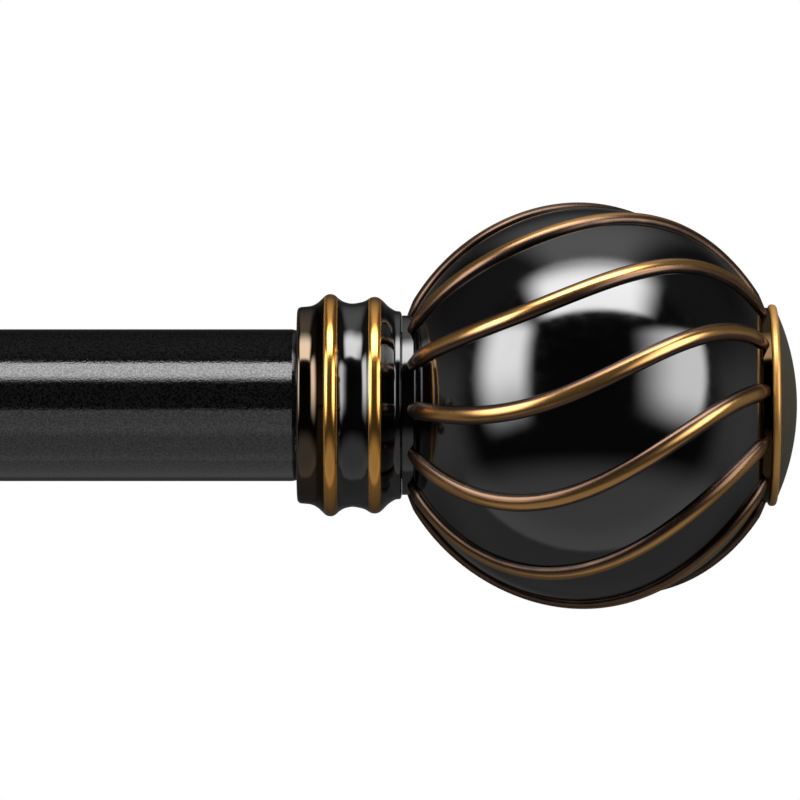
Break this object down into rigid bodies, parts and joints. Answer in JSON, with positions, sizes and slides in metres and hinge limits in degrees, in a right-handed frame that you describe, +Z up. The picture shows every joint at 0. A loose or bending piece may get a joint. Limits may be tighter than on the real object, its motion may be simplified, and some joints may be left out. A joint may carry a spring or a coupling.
{
  "type": "curtain rod with brackets",
  "caption": "Telescoping round curtain rod with twisted-rib ball finials at both ends, resting in two wall brackets with open saddles and adjustable projection.",
  "frame": {"origin": "centre of the four wall-screw holes, on the wall plane", "axes": "+X along the rod towards the end of the thick outer tube, the rod on the -Y side of the wall, +Z up"},
  "size_m": [0.8782, 0.124, 0.0995],
  "materials": {
    "satin_black_metal": "satin powder coat",
    "gloss_black_lacquer": "high gloss",
    "bronzed_black_lacquer": "gloss with gold-rubbed beads",
    "rubbed_gold_bronze": "antique gold, rubbed on the crests",
    "dark_olive_bronze": "satin",
    "zinc_plated_steel": "zinc plated",
    "black_nylon": "matte",
    "white_nylon": "matte"
  },
  "bodies": {
    "wall_brackets": {"left_wall_plate": "satin_black_metal", "left_arm": "satin_black_metal", "left_arm_screw": "zinc_plated_steel", "right_wall_plate": "satin_black_metal", "right_arm": "satin_black_metal", "right_arm_screw": "zinc_plated_steel"},
    "left_set_screw": {"left_set_screw": "zinc_plated_steel"},
    "left_carrier": {"left_projection_rod": "satin_black_metal", "left_saddle": "satin_black_metal", "left_saddle_screw": "zinc_plated_steel"},
    "left_thumb_shank": {"left_thumbscrew_shank": "zinc_plated_steel"},
    "left_thumb_knob": {"left_thumbscrew_knob": "satin_black_metal"},
    "right_set_screw": {"right_set_screw": "zinc_plated_steel"},
    "right_carrier": {"right_projection_rod": "satin_black_metal", "right_saddle": "satin_black_metal", "right_saddle_screw": "zinc_plated_steel"},
    "right_thumb_shank": {"right_thumbscrew_shank": "zinc_plated_steel"},
    "right_thumb_knob": {"right_thumbscrew_knob": "satin_black_metal"},
    "rod_lifter": {"mouth_bush": "black_nylon"},
    "outer_rod": {"outer_tube": "satin_black_metal", "right_end_plug": "black_nylon", "right_end_nut": "zinc_plated_steel"},
    "telescope_guide": {"guide_bush": "white_nylon"},
    "inner_rod": {"inner_tube": "satin_black_metal", "left_end_plug": "black_nylon", "left_end_nut": "zinc_plated_steel"},
    "left_stud": {"left_finial_stud": "zinc_plated_steel"},
    "left_finial": {"left_finial_collar": "bronzed_black_lacquer", "left_finial_rear_ring": "bronzed_black_lacquer", "left_finial_ball": "gloss_black_lacquer", "left_finial_ribs": "rubbed_gold_bronze", "left_finial_front_ring": "bronzed_black_lacquer", "left_finial_cap": "dark_olive_bronze"},
    "right_stud": {"right_finial_stud": "zinc_plated_steel"},
    "right_finial": {"right_finial_collar": "bronzed_black_lacquer", "right_finial_rear_ring": "bronzed_black_lacquer", "right_finial_ball": "gloss_black_lacquer", "right_finial_ribs": "rubbed_gold_bronze", "right_finial_front_ring": "bronzed_black_lacquer", "right_finial_cap": "dark_olive_bronze"}
  },
  "joints": [
    {"name": "right_projection", "type": "slide", "parent": "wall_brackets", "child": "right_carrier", "axis": [0, -1, 0], "range_m": [0, 0.025]},
    {"name": "right_set_screw_out", "type": "slide", "parent": "wall_brackets", "child": "right_set_screw", "axis": [0, 0, -1], "range_m": [0, 0.003]},
    {"name": "right_thumbscrew_out", "type": "slide", "parent": "right_carrier", "child": "right_thumb_shank", "axis": [0, -1, 0], "range_m": [0, 0.0056]},
    {"name": "right_thumbscrew_turn", "type": "hinge", "parent": "right_thumb_shank", "child": "right_thumb_knob", "pos_m": [0.245, -0.114, 0.0235], "axis": [0, -1, 0], "range_deg": [0, 2881]},
    {"name": "left_projection", "type": "slide", "parent": "wall_brackets", "child": "left_carrier", "axis": [0, -1, 0], "range_m": [0, 0.025]},
    {"name": "left_set_screw_out", "type": "slide", "parent": "wall_brackets", "child": "left_set_screw", "axis": [0, 0, -1], "range_m": [0, 0.003]},
    {"name": "left_thumbscrew_out", "type": "slide", "parent": "left_carrier", "child": "left_thumb_shank", "axis": [0, -1, 0], "range_m": [0, 0.0056]},
    {"name": "left_thumbscrew_turn", "type": "hinge", "parent": "left_thumb_shank", "child": "left_thumb_knob", "pos_m": [-0.245, -0.114, 0.0235], "axis": [0, -1, 0], "range_deg": [0, 2881]},
    {"name": "rod_lift_out", "type": "slide", "parent": "right_carrier", "child": "rod_lifter", "axis": [0, 0, 1], "range_m": [0, 0.03]},
    {"name": "rod_roll", "type": "hinge", "parent": "rod_lifter", "child": "outer_rod", "pos_m": [0, -0.09, 0.0235], "axis": [1, 0, 0], "continuous": true},
    {"name": "telescope", "type": "slide", "parent": "outer_rod", "child": "telescope_guide", "axis": [-1, 0, 0], "range_m": [0, 0.508]},
    {"name": "inner_tube_swivel", "type": "hinge", "parent": "telescope_guide", "child": "inner_rod", "pos_m": [0, -0.09, 0.0235], "axis": [1, 0, 0], "continuous": true},
    {"name": "right_finial_out", "type": "slide", "parent": "outer_rod", "child": "right_stud", "axis": [1, 0, 0], "range_m": [0, 0.012]},
    {"name": "right_finial_turn", "type": "hinge", "parent": "right_stud", "child": "right_finial", "pos_m": [0.4043, -0.09, 0.0235], "axis": [1, 0, 0], "range_deg": [0, 4321]},
    {"name": "left_finial_out", "type": "slide", "parent": "inner_rod", "child": "left_stud", "axis": [-1, 0, 0], "range_m": [0, 0.012]},
    {"name": "left_finial_turn", "type": "hinge", "parent": "left_stud", "child": "left_finial", "pos_m": [-0.4043, -0.09, 0.0235], "axis": [-1, 0, 0], "range_deg": [0, 4321]}
  ],
  "couplings": [
    {"joint": "right_thumbscrew_turn", "follows": "right_thumbscrew_out", "rad_per_m": 8976},
    {"joint": "left_thumbscrew_turn", "follows": "left_thumbscrew_out", "rad_per_m": 8976},
    {"joint": "left_projection", "follows": "right_projection", "ratio": 1},
    {"joint": "right_finial_turn", "follows": "right_finial_out", "rad_per_m": 6283.2},
    {"joint": "left_finial_turn", "follows": "left_finial_out", "rad_per_m": 6283.2}
  ]
}
